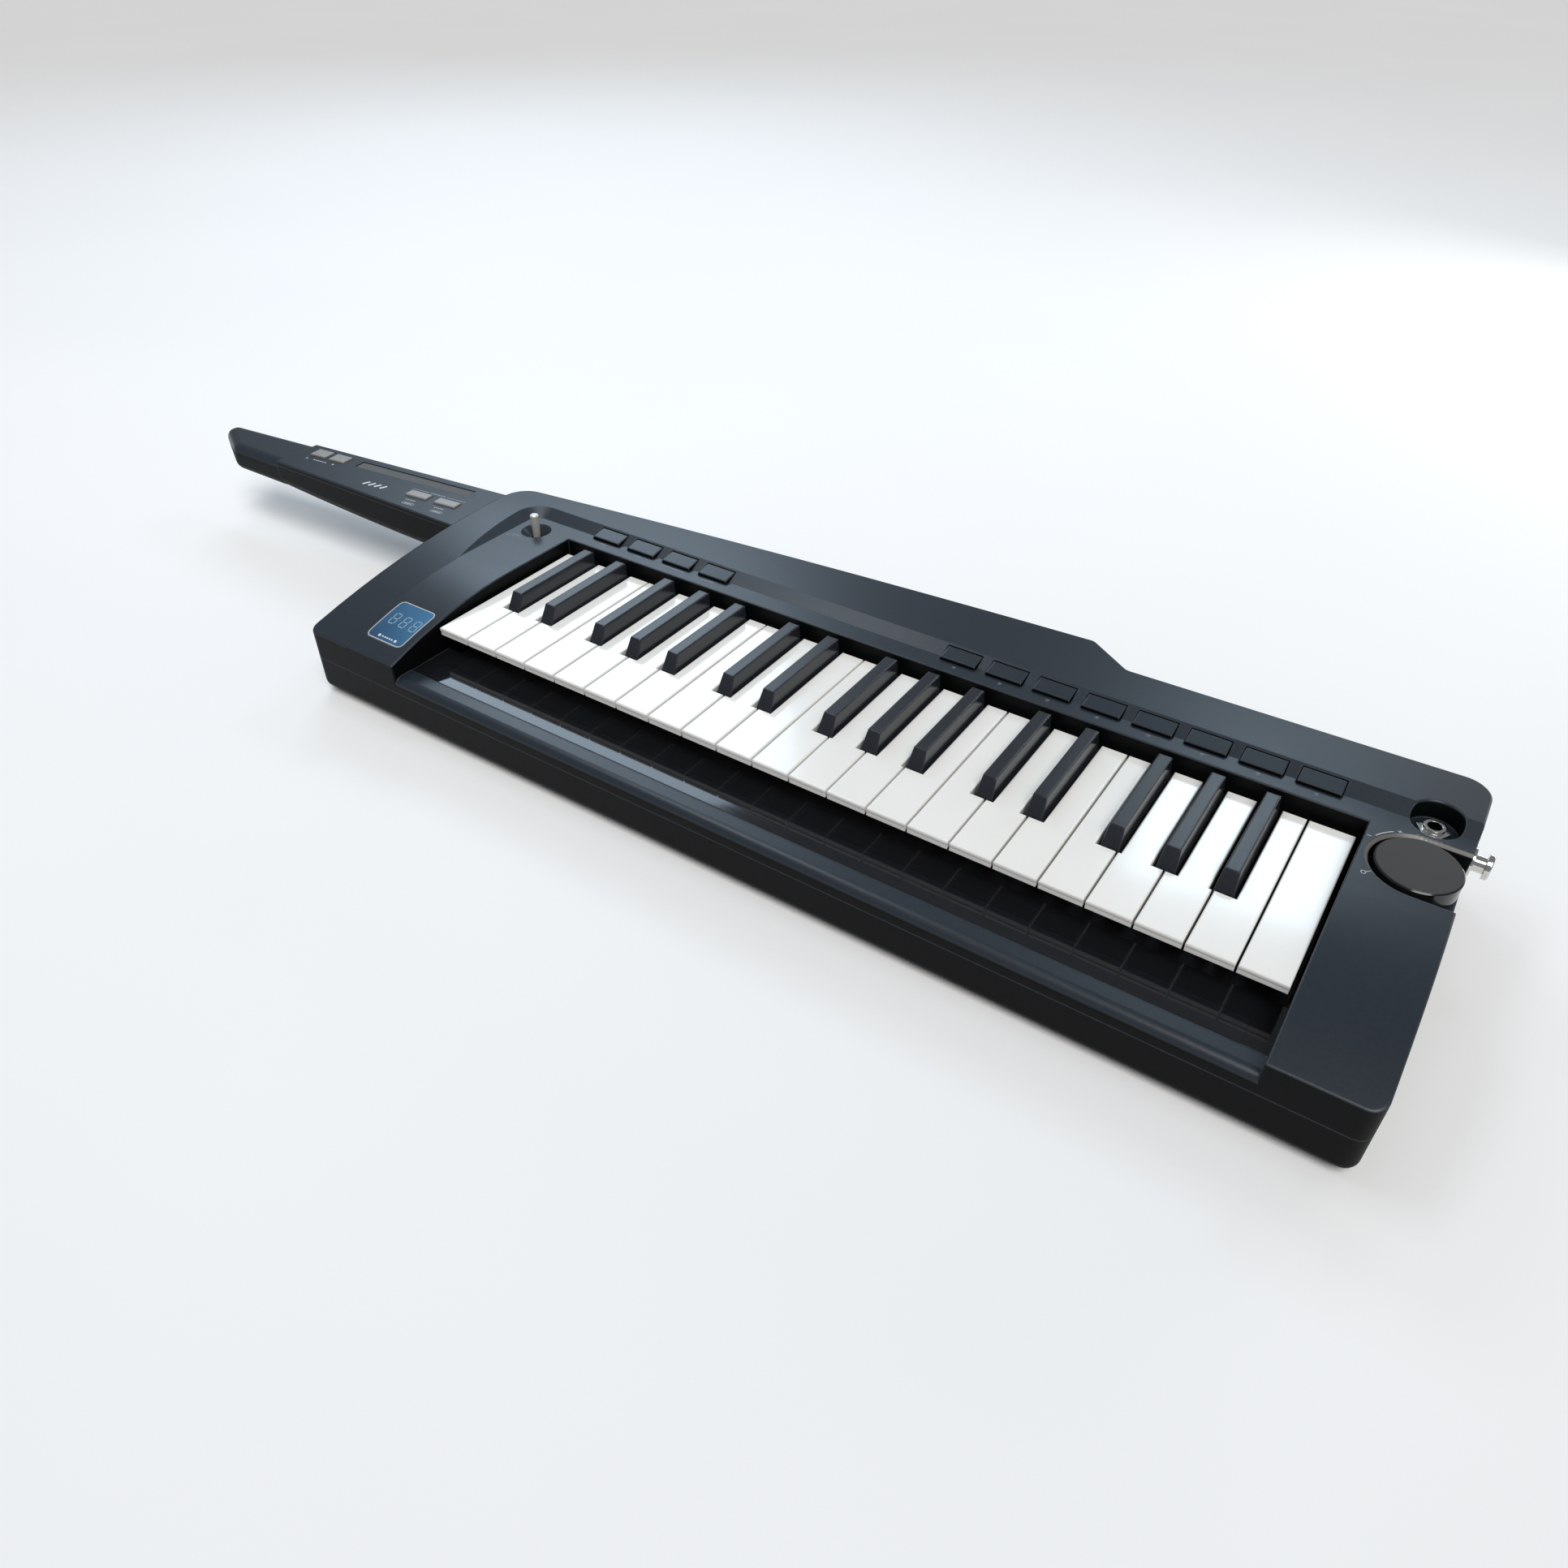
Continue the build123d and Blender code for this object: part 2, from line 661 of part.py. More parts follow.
def hinge_arm(center):
    """Web, arm and round journal that hang a key on the frame's hinge rail."""
    block(center - arm_width / 2, center + arm_width / 2, white_length - arm_overlap,
          white_length, pivot_z - arm_thickness / 2, -white_plate)
    block(center - arm_width / 2, center + arm_width / 2, white_length - 1, pivot_y,
          pivot_z - arm_thickness / 2, pivot_z + arm_thickness / 2)
    with BuildSketch(across(center - arm_width / 2)) as journal:
        with Locations((pivot_y, pivot_z)):
            Circle(journal_radius)
    extrude(journal.sketch, amount=arm_width)


# Black keys stand on the joints between white keys, a little off centre within each group
white_names = ["c", "d", "e", "f", "g", "a", "b"]
sharp_after = {"c": "cs", "d": "ds", "f": "fs", "g": "gs", "a": "as"}


def black_center(index):
    """Middle of the black key to the right of a white key, or None where there is none."""
    note = white_names[index % 7]
    if note not in sharp_after or not 0 <= index < white_count - 1:
        return None
    return (index + 1 + black_offsets[sharp_after[note]]) * key_pitch


def white_outline(index, front, inset=0.0):
    """Plan of a white key: a full-width front and a tail between its black neighbours."""
    left = index * key_pitch + key_gap / 2
    right = (index + 1) * key_pitch - key_gap / 2
    half_slot = black_root_width / 2 + black_side_gap
    before = black_center(index - 1)
    after = black_center(index)
    tail_left = left if before is None else before + half_slot
    tail_right = right if after is None else after - half_slot
    with BuildSketch(mode=Mode.PRIVATE) as plan:
        rectangle(left, right, front, black_front - black_side_gap)
        rectangle(tail_left, tail_right, front, white_length)
        if inset:
            offset(amount=-inset, kind=Kind.INTERSECTION)
    return plan.sketch, (tail_left + tail_right) / 2


def white_key(index):
    plate_plan, tail_center = white_outline(index, 0.0)
    lip_plan, tail_center = white_outline(index, lip_inset)
    hollow_plan, tail_center = white_outline(index, lip_inset, white_wall)
    with BuildPart() as key:
        with BuildSketch(level(-white_lip_height)):
            add(lip_plan)
        extrude(amount=white_lip_height - white_plate)
        with BuildSketch(level(-white_plate)):
            add(plate_plan)
        extrude(amount=white_plate)
        fillet(key.edges().group_by(Axis.Z)[-1], key_edge_radius)
        with BuildSketch(level(-white_lip_height)):
            add(hollow_plan)
        extrude(amount=white_lip_height - white_plate, mode=Mode.SUBTRACT)
        hinge_arm(tail_center)
    return key.part


def black_key(center):
    with BuildPart() as key:
        with BuildSketch(level(-black_root_depth)):
            rectangle(center - black_root_width / 2, center + black_root_width / 2,
                      black_front, black_front + black_length)
        with BuildSketch(level(black_height)):
            rectangle(center - black_top_width / 2, center + black_top_width / 2,
                      black_front + black_front_slope, black_front + black_length)
        loft()
        top_edges = key.edges().group_by(Axis.Z)[-1]
        front_edges = key.faces().sort_by(Axis.Y)[0].edges()
        slanted = front_edges.filter_by(lambda e: e.bounding_box().size.Z > black_root_depth)
        fillet(top_edges + slanted, key_edge_radius)
        hinge_arm(center)
    return key.part


for index in range(white_count):
    octave = index // 7 + 1
    note = white_names[index % 7]
    save(white_key(index), f"white_key_{note}{octave}")
    if black_center(index) is not None:
        save(black_key(black_center(index)), f"black_key_{sharp_after[note]}{octave}")

# Touch ribbon in front of the keys
with BuildPart() as long_ribbon:
    block(ribbon_left + fit_gap, ribbon_right - fit_gap, rail_rear + fit_gap,
          rail_rear + ribbon_width - fit_gap, -trough_depth - ribbon_thickness, -trough_depth)
save(long_ribbon.part, "long_ribbon")

# Display window, curved with the cheek
with BuildPart() as display_window:
    with BuildSketch(level(-cheek_front_drop - skin)):
        add(display_outline())
    extrude(amount=cheek_front_drop + skin + panel_height)
    with BuildSketch(across(body_left)):
        add(panel_profile(display_sink))
    extrude(amount=body_right - body_left, mode=Mode.INTERSECT)
    with BuildSketch(across(body_left)):
        add(panel_profile(display_sink + display_thickness))
    extrude(amount=body_right - body_left, mode=Mode.SUBTRACT)
save(display_window.part, "display_window")

# Main circuit board on posts under the rear panel
with BuildPart() as main_board:
    block(board_end_inset, keys_width - board_end_inset, bed_rear + wall + board_front_gap,
          bed_rear + wall + board_front_gap + board_depth, board_top - board_thickness, board_top)
save(main_board.part, "main_board")


def panel_cap(x, y):
    """Cap with a sloped top, guided by its slot and kept in by a flange under the panel."""
    front = y - cap_depth / 2
    rear = y + cap_depth / 2
    bottom = flange_top - cap_flange_thickness
    with BuildPart(mode=Mode.PRIVATE) as cap:
        with BuildSketch(across(x - cap_width / 2)):
            with BuildLine():
                Polyline((front, bottom), (front, panel_height + cap_front_proud),
                         (rear, panel_height + cap_rear_proud), (rear, bottom), close=True)
            make_face()
        extrude(amount=cap_width)
        fillet(cap.faces().sort_by(Axis.Z)[-1].edges(), cap_edge_radius)
        block(x - cap_width / 2 - cap_flange, x + cap_width / 2 + cap_flange,
              front - cap_flange, rear + cap_flange, bottom, flange_top)
    return cap.part


with BuildPart() as function_buttons:
    for x, y in function_places:
        add(panel_cap(x, y))
save(function_buttons.part, "function_buttons")

with BuildPart() as program_buttons:
    for x, y in program_places:
        add(panel_cap(x, y))
save(program_buttons.part, "program_buttons")

# Program toggle: a bat lever on a ball under the dish
pivot_height = panel_height - toggle_pivot_depth
with BuildPart() as program_toggle:
    with BuildSketch(level(pivot_height)):
        with Locations((toggle_x, toggle_y)):
            Circle(toggle_root_radius)
    with BuildSketch(level(panel_height + toggle_proud)):
        with Locations((toggle_x, toggle_y)):
            Circle(toggle_radius)
    loft()
    fillet(program_toggle.edges().group_by(Axis.Z)[-1], toggle_root_radius / 2)
    with BuildPart(mode=Mode.PRIVATE) as ball:
        with Locations(level(pivot_height).location * Location((toggle_x, toggle_y, 0))):
            Sphere(toggle_ball_radius)
    add(ball.part)
save(program_toggle.part, "program_toggle")

# Volume knob: a wide disc on a shaft, its rim level with the body's side
knob_top = panel_height + knob_proud
with BuildPart() as volume_knob:
    drum(knob_x, knob_y, knob_radius, knob_top - knob_height, knob_top)
    chamfer(volume_knob.edges().group_by(Axis.Z)[-1], knob_edge_chamfer)
    drum(knob_x, knob_y, knob_shaft_radius,
         knob_top - knob_height - knob_shaft_length, knob_top - knob_height)
save(volume_knob.part, "volume_knob")

# Output jack: body under the panel, bush through it, hexagonal nut on top
jack_floor = panel_height - jack_recess_depth
jack_under = jack_floor - pocket_wall
with BuildPart() as output_jack:
    block(jack_x - jack_body_size / 2, jack_x + jack_body_size / 2,
          jack_y - jack_body_size / 2, jack_y + jack_body_size / 2,
          jack_under - jack_body_depth, jack_under)
    drum(jack_x, jack_y, jack_bush_radius, jack_under,
         jack_floor + jack_nut_height + jack_bush_proud)
    with BuildSketch(level(jack_floor)):
        with Locations((jack_x, jack_y)):
            RegularPolygon(jack_nut_flats / 2, 6, major_radius=False)
    extrude(amount=jack_nut_height)
    drum(jack_x, jack_y, jack_bore_radius, jack_under - jack_body_depth + wall, far,
         mode=Mode.SUBTRACT)
save(output_jack.part, "output_jack")


def strap_pin(wall_plane, u, v):
    """Turned pin standing on a side wall, at u, v in the wall's own plane."""
    start = wall_plane.shift_origin(wall_plane.from_local_coords((u, v, 0)))
    steps = [(pin_flange_radius, pin_flange_thickness), (pin_waist_radius, pin_waist_length),
             (pin_head_radius, pin_head_thickness)]
    height = 0
    with BuildPart(mode=Mode.PRIVATE) as pin:
        for radius, thickness in steps:
            with BuildSketch(start.offset(height)) as disc:
                Circle(radius)
            extrude(disc.sketch, amount=thickness)
            height += thickness
        fillet(pin.faces().sort_by(Axis(start.origin, start.z_dir))[-1].edges(), pin_round)
    return pin.part


right_wall = across(body_right)
left_wall = Plane(origin=across(body_left).origin, x_dir=(0, -1, 0), z_dir=(-1, 0, 0))
with BuildPart() as strap_pins:
    add(strap_pin(right_wall, bed_rear + end_pin_from_bed_rear, -pin_depth))
    add(strap_pin(left_wall, neck_pin_ahead - neck_front, -pin_depth))
save(strap_pins.part, "strap_pins")


# Neck: hollow base with a tenon into the body, cover with controls, rounded grip
def neck_plan(x_from, x_to, inset=0.0):
    """Plan of a stretch of the neck between two distances, wedge-shaped towards the tip."""
    with BuildSketch(mode=Mode.PRIVATE) as plan:
        with BuildLine():
            Polyline((x_from, neck_front), (x_from, neck_rear - neck_slope * (body_left - x_from)),
                     (x_to, neck_rear - neck_slope * (body_left - x_to)), (x_to, neck_front),
                     close=True)
        make_face()
        if inset:
            offset(amount=-inset, kind=Kind.INTERSECTION)
    return plan.sketch


with BuildPart() as neck_base:
    with BuildSketch(level(panel_height - neck_depth - 2 * neck_belly)):
        add(neck_plan(body_left, neck_seam))
    extrude(amount=neck_depth + 2 * neck_belly - neck_cover_thickness)
    with BuildSketch(along(neck_front - 1)):
        with BuildLine():
            root = (body_left, panel_height - neck_depth)
            seam = (neck_seam, panel_height - neck_grip_depth)
            middle = ((root[0] + seam[0]) / 2, (root[1] + seam[1]) / 2 - neck_belly)
            ThreePointArc(root, middle, seam)
            Polyline(seam, (neck_seam, panel_height), (body_left, panel_height), root)
        make_face()
    extrude(amount=-neck_root_width - 2, mode=Mode.INTERSECT)
    fillet(neck_base.faces().sort_by(Axis.Z)[0].edges().filter_by(
        lambda e: e.bounding_box().size.X > neck_cover_length / 2), neck_edge_radius)
    with BuildSketch(level(cover_bottom - neck_cavity_depth)):
        add(neck_plan(body_left, neck_seam, neck_wall))
    extrude(amount=neck_cavity_depth, mode=Mode.SUBTRACT)
    block(body_left - neck_wall, body_left + tenon_length, tenon_front, tenon_rear,
          tenon_low, tenon_low + tenon_height)
save(neck_base.part, "neck_base")

with BuildPart() as neck_cover:
    with BuildSketch(level(cover_bottom)):
        add(neck_plan(body_left, neck_seam))
    extrude(amount=neck_cover_thickness)
    with BuildSketch(level(panel_height - short_ribbon_recess)):
        with Locations(Location((ribbon_x, ribbon_y, 0), (0, 0, neck_angle))):
            Rectangle(short_ribbon_length, short_ribbon_width)
    extrude(amount=short_ribbon_recess, mode=Mode.SUBTRACT)
    for places, size in ((octave_places, octave_cap_size), (mode_places, mode_cap_size)):
        for x, y in places:
            with BuildSketch(level(cover_bottom)):
                with Locations(Location((x, y, 0), (0, 0, neck_angle))):
                    Rectangle(size[0] + 2 * neck_cap_gap, size[1] + 2 * neck_cap_gap)
            extrude(amount=neck_cover_thickness, mode=Mode.SUBTRACT)
    cover_middle = (body_left + neck_seam) / 2
    long_edges = edges_at(
        neck_cover,
        (cover_middle, neck_front, panel_height),
        (cover_middle, neck_rear - neck_slope * (body_left - cover_middle), panel_height),
    )
    fillet(long_edges, top_edge_radius)
save(neck_cover.part, "neck_cover")

with BuildPart() as short_ribbon:
    with BuildSketch(level(panel_height - short_ribbon_recess)):
        with Locations(Location((ribbon_x, ribbon_y, 0), (0, 0, neck_angle))):
            Rectangle(short_ribbon_length - 2 * fit_gap, short_ribbon_width - 2 * fit_gap)
    extrude(amount=ribbon_thickness)
save(short_ribbon.part, "short_ribbon")

with BuildPart() as neck_grip:
    tip_rear = neck_front + neck_tip_width
    with BuildSketch(level(panel_height - neck_grip_depth)) as grip_plan:
        add(neck_plan(neck_seam, neck_tip))
        with BuildLine():
            Polyline((neck_tip, neck_front), (neck_tip + neck_tip_slant, neck_front),
                     (neck_tip, tip_rear - neck_tip_flat), close=True)
        make_face(mode=Mode.SUBTRACT)
        rounds = [((neck_tip + neck_tip_slant, neck_front), neck_tip_front_radius),
                  ((neck_tip, tip_rear - neck_tip_flat), neck_tip_radius),
                  ((neck_tip, tip_rear), neck_tip_radius)]
        for corner, radius in rounds:
            fillet(grip_plan.vertices().sort_by_distance(corner)[0], radius)
    extrude(amount=neck_grip_depth)
    seam_x = neck_seam - origin_x
    for face_index, radius in ((-1, grip_top_radius), (0, grip_bottom_radius)):
        rim = neck_grip.faces().sort_by(Axis.Z)[face_index].edges()
        fillet(rim.filter_by(lambda e: e.center().X < seam_x - 1), radius)
save(neck_grip.part, "neck_grip")


def neck_cap(x, y, size, name):
    with BuildPart() as cap:
        with BuildSketch(level(flange_top)) as plan:
            with Locations(Location((x, y, 0), (0, 0, neck_angle))):
                Rectangle(size[0], size[1])
        extrude(amount=panel_height + neck_cap_proud - flange_top)
        fillet(cap.faces().sort_by(Axis.Z)[-1].edges(), cap_edge_radius)
        with BuildSketch(level(flange_top - cap_flange_thickness)) as flange:
            with Locations(Location((x, y, 0), (0, 0, neck_angle))):
                Rectangle(size[0] + 2 * cap_flange, size[1] + 2 * cap_flange)
        extrude(amount=cap_flange_thickness)
    save(cap.part, name)


neck_cap(*octave_places[0], octave_cap_size, "octave_down_button")
neck_cap(*octave_places[1], octave_cap_size, "octave_up_button")
neck_cap(*mode_places[0], mode_cap_size, "ribbon_pitch_button")
neck_cap(*mode_places[1], mode_cap_size, "ribbon_filter_button")
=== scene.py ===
import json
import math

import bmesh
import bpy
from mathutils import Matrix, Vector
from mathutils.bvhtree import BVHTree


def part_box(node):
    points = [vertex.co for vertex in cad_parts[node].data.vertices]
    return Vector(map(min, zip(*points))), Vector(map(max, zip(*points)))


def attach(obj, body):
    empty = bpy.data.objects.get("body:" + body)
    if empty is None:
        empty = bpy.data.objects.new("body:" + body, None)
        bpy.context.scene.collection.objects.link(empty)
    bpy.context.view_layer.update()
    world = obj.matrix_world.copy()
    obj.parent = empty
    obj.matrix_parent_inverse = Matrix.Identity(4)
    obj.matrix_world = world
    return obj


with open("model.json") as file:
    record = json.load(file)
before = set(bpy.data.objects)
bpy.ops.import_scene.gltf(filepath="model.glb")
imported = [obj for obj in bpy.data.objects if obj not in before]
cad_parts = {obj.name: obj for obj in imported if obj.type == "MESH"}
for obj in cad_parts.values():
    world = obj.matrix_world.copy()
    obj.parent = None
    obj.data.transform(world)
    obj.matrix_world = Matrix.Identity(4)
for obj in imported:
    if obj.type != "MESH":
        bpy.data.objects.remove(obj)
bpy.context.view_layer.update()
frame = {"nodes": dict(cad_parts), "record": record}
MM = 0.001

# Key datum: the lowest white key's left side with half a gap, key fronts and key tops.
# Places below are in millimetres from it unless they say metres.
HALF_KEY_GAP = 0.5
first_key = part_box("white_key_c1")
DATUM = Vector((first_key[0].x - HALF_KEY_GAP * MM, first_key[0].y, first_key[1].z))


def at(x, y, z=0.0):
    """Place in metres from a place in millimetres counted from the key datum."""
    return DATUM + Vector((x, y, z)) * MM


def middle(node):
    """X and Y of a node's middle, in millimetres from the key datum."""
    low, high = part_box(node)
    centre = ((low + high) / 2 - DATUM) / MM
    return centre.x, centre.y


# ---------------------------------------------------------------- camera
CAMERA_PLACE = (478.18, -366.21, 347.54)
CAMERA_AHEAD = (-0.42995, 0.64880, -0.62785)
CAMERA_RIGHT = (0.83028, 0.55729, 0.00731)
CAMERA_LENS = 26.793


def make_camera():
    data = bpy.data.cameras.new("studio_camera")
    data.sensor_width = 36.0
    data.lens = CAMERA_LENS
    data.clip_start = 0.01
    camera = bpy.data.objects.new("studio_camera", data)
    bpy.context.scene.collection.objects.link(camera)
    ahead = Vector(CAMERA_AHEAD).normalized()
    right = Vector(CAMERA_RIGHT)
    right = (right - ahead * right.dot(ahead)).normalized()
    up = right.cross(ahead)
    turn = Matrix((right, up, -ahead)).transposed().to_4x4()
    camera.matrix_world = Matrix.Translation(at(*CAMERA_PLACE)) @ turn
    bpy.context.scene.camera = camera


make_camera()


# ---------------------------------------------------------------- finishes
class Field:
    """A value that runs over a surface. Arithmetic on it adds the Math nodes."""

    def __init__(self, sheet, socket):
        self.sheet = sheet
        self.socket = socket

    def math(self, operation, first, second):
        return self.sheet.add("ShaderNodeMath", {"operation": operation}, {0: first, 1: second})

    def __add__(self, other):
        return self.math("ADD", self, other)

    def __radd__(self, other):
        return self.math("ADD", other, self)

    def __sub__(self, other):
        return self.math("SUBTRACT", self, other)

    def __rsub__(self, other):
        return self.math("SUBTRACT", other, self)

    def __mul__(self, other):
        return self.math("MULTIPLY", self, other)

    def __rmul__(self, other):
        return self.math("MULTIPLY", other, self)

    def __truediv__(self, other):
        return self.math("DIVIDE", self, other)

    def __rtruediv__(self, other):
        return self.math("DIVIDE", other, self)

    def __gt__(self, other):
        return self.math("GREATER_THAN", self, other)

    def __lt__(self, other):
        return self.math("LESS_THAN", self, other)

    def __pow__(self, other):
        return self.math("POWER", self, other)


class Sheet:
    """One material's node sheet."""

    def __init__(self, name):
        self.material = bpy.data.materials.new(name)
        self.material.use_nodes = True
        self.tree = self.material.node_tree
        self.tree.nodes.clear()

    def add(self, kind, settings=None, inputs=None, output=0):
        node = self.tree.nodes.new(kind)
        for name, value in (settings or {}).items():
            if name == "stops":
                ramp = node.color_ramp
                for index, (place, colour) in enumerate(value):
                    stop = ramp.elements[index] if index < 2 else ramp.elements.new(place)
                    stop.position = place
                    stop.color = (*colour, 1.0)
            else:
                setattr(node, name, value)
        for name, value in (inputs or {}).items():
            if isinstance(value, Field):
                self.tree.links.new(value.socket, node.inputs[name])
            elif isinstance(value, tuple) and node.inputs[name].type == "RGBA":
                node.inputs[name].default_value = (*value[:3], 1.0)
            else:
                node.inputs[name].default_value = value
        return Field(self, node.outputs[output])

    def place(self):
        """Position on the piece, which stays with the piece when it moves."""
        return self.add("ShaderNodeTexCoord", output="Object")

    def along(self, where):
        """X, Y and Z of a place, in millimetres from the key datum."""
        split = self.add("ShaderNodeSeparateXYZ", None, {0: where})
        outs = split.socket.node.outputs
        return [(Field(self, outs[i]) - DATUM[i]) / MM for i in range(3)]

    def noise(self, where, scale, detail=3.0, roughness=0.5):
        return self.add("ShaderNodeTexNoise", None,
                        {"Vector": where, "Scale": scale,
                         "Detail": detail, "Roughness": roughness}, "Fac")

    def stretched(self, where, factors):
        return self.add("ShaderNodeVectorMath", {"operation": "MULTIPLY"}, {0: where, 1: factors})

    def blend(self, factor, first, second):
        node = self.add("ShaderNodeMix", {"data_type": "RGBA"}).socket.node
        for name, value in (("Factor_Float", factor), ("A_Color", first), ("B_Color", second)):
            socket = next(s for s in node.inputs if s.identifier == name)
            if isinstance(value, Field):
                self.tree.links.new(value.socket, socket)
            elif name == "Factor_Float":
                socket.default_value = value
            else:
                socket.default_value = (*value, 1.0)
        return Field(self, next(s for s in node.outputs if s.identifier == "Result_Color"))

    def between(self, value, low, high):
        return (value > low) * (value < high)

    def rounded(self, radius):
        """Normal that runs smoothly over sharp moulded edges."""
        return self.add("ShaderNodeBevel", {"samples": 4}, {"Radius": radius})

    def edge(self, soft_normal):
        """1 on the rounded edges and 0 on the flats, the mask for painted edge highlights."""
        flat = self.add("ShaderNodeNewGeometry", output="Normal")
        facing = self.add("ShaderNodeVectorMath", {"operation": "DOT_PRODUCT"},
                          {0: flat, 1: soft_normal}, "Value")
        return self.add("ShaderNodeMapRange", None,
                        {"Value": facing, "From Min": 0.995, "From Max": 0.80,
                         "To Min": 0.0, "To Max": 1.0})

    def bump(self, height, distance, strength=1.0, normal=None):
        inputs = {"Height": height, "Distance": distance, "Strength": strength}
        if normal is not None:
            inputs["Normal"] = normal
        return self.add("ShaderNodeBump", None, inputs, "Normal")

    def shader(self, colour, roughness, normal=None, **others):
        inputs = {"Base Color": colour, "Roughness": roughness}
        if normal is not None:
            inputs["Normal"] = normal
        for name, value in others.items():
            inputs[name.replace("_", " ")] = value
        return self.add("ShaderNodeBsdfPrincipled", None, inputs, "BSDF")

    def show(self, shader):
        out = self.tree.nodes.new("ShaderNodeOutputMaterial")
        self.tree.links.new(shader.socket, out.inputs["Surface"])
        return self.material

    def finish(self, colour, roughness, normal=None, **others):
        return self.show(self.shader(colour, roughness, normal, **others))


SLATE = (0.0135, 0.0190, 0.0265)
SLATE_CLOUD = (0.0115, 0.0180, 0.0275)
SLATE_SPECK = (0.026, 0.034, 0.045)
# Lighter slate for a painted highlight on rounded edges
EDGE_HIGHLIGHT_SLATE = (0.105, 0.115, 0.125)
# Near-black for painted shade on faces that do not face up
SIDE_SHADE_BLACK = (0.0022, 0.0025, 0.0030)
TROUGH_BLACK = (0.006, 0.0065, 0.0075)
TROUGH_CLOUD = (0.008, 0.009, 0.010)
# Warm light colour for a painted reflection on the knob well's bevel
WELL_BEVEL_REFLECTION = (0.150, 0.143, 0.130)
KNOB_WELL_RADIUS = 20.2
KNOB_BEVEL_WIDTH = 1.35
KNOB_BEVEL_HEIGHTS = (6.0, 7.76)
TROUGH_X = (-1.7, 476.9)
TROUGH_Y = (-22.6, 112.0)
TROUGH_TOP = -5.2
# How far up a face looks: slate paint above the first value, painted shade in black below the
# second
PAINTED_FROM, SHADE_BLACK_FROM = 0.45, 0.15


def satin_paint(name, open_bed=True):
    """Slate blue satin paint on what faces up and painted shade in black on the sides, with edges
    made lighter as a painted highlight.

    With open_bed, the trough in front of the keys and the walls around them are black too.
    """
    s = Sheet(name)
    where = s.place()
    x, y, z = s.along(where)
    facing = s.add("ShaderNodeSeparateXYZ", None,
                   {0: s.add("ShaderNodeNewGeometry", output="Normal")}, "Z")
    cloud = s.noise(where, 9.0, 2.0)
    grain = s.noise(where, 1900.0, 2.0)
    speck = s.noise(where, 620.0, 3.0, 0.6)
    soft = s.rounded(0.0009)
    edge = s.edge(soft)
    colour = s.blend(cloud, SLATE, SLATE_CLOUD)
    colour = s.blend(speck * 0.25, colour, SLATE_SPECK)
    # Painted highlight: the rounded edges are lighter
    colour = s.blend(edge * 0.55, colour, EDGE_HIGHLIGHT_SLATE)
    if open_bed:
        # Painted reflection: a warm light ring on the bevel of the knob's well
        knob_x, knob_y = middle("volume_knob")
        leftward = x.math("MINIMUM", x - knob_x, 0.0)
        reach = (leftward * leftward + (y - knob_y) * (y - knob_y)) ** 0.5
        ring = s.between(reach, KNOB_WELL_RADIUS - 0.1, KNOB_WELL_RADIUS + KNOB_BEVEL_WIDTH)
        well_reflection = ring * s.between(z, *KNOB_BEVEL_HEIGHTS)
        colour = s.blend(well_reflection * 0.9, colour, WELL_BEVEL_REFLECTION)
    roughness = 0.33 + (speck - 0.5) * 0.10 + (cloud - 0.5) * 0.08
    normal = s.bump(grain * 0.6 + speck * 0.4, 0.00004, 0.35, soft)
    painted = s.shader(colour, roughness, normal, Specular_IOR_Level=0.5)
    # Painted shade: faces that do not face up are near black with little gloss, and their edges
    # get the painted highlight
    side_shade_colour = s.blend(edge * 0.6, SIDE_SHADE_BLACK, EDGE_HIGHLIGHT_SLATE)
    side = s.shader(side_shade_colour, 0.50 + (speck - 0.5) * 0.10, normal, Specular_IOR_Level=0.10)
    side_shade_mask = s.add("ShaderNodeMapRange", None,
                     {"Value": facing, "From Min": PAINTED_FROM, "From Max": SHADE_BLACK_FROM,
                      "To Min": 0.0, "To Max": 1.0})
    cased = s.add("ShaderNodeMixShader", None, {0: side_shade_mask, 1: painted, 2: side})
    if not open_bed:
        return s.show(cased)
    trough = s.between(x, *TROUGH_X) * s.between(y, *TROUGH_Y) * (z < TROUGH_TOP)
    trough_colour = s.blend(cloud, TROUGH_BLACK, TROUGH_CLOUD)
    gloss = s.shader(trough_colour, 0.05 + speck * 0.05)
    return s.show(s.add("ShaderNodeMixShader", None, {0: trough, 1: cased, 2: gloss}))


def ivory_plastic(name):
    """Glossy off-white key moulding with a faint polish haze."""
    s = Sheet(name)
    where = s.place()
    haze = s.noise(s.stretched(where, (260.0, 30.0, 200.0)), 1.0, 3.0)
    cloud = s.noise(where, 22.0, 2.0)
    soft = s.rounded(0.0007)
    edge = s.edge(soft)
    colour = s.blend(cloud, (0.80, 0.79, 0.755), (0.86, 0.852, 0.825))
    # Painted highlight: the rounded edges are lighter
    colour = s.blend(edge * 0.35, colour, (0.90, 0.89, 0.86))
    roughness = 0.11 + haze * 0.06
    normal = s.bump(haze, 0.00002, 0.15, soft)
    return s.finish(colour, roughness, normal, Coat_Weight=0.25, Coat_Roughness=0.06)


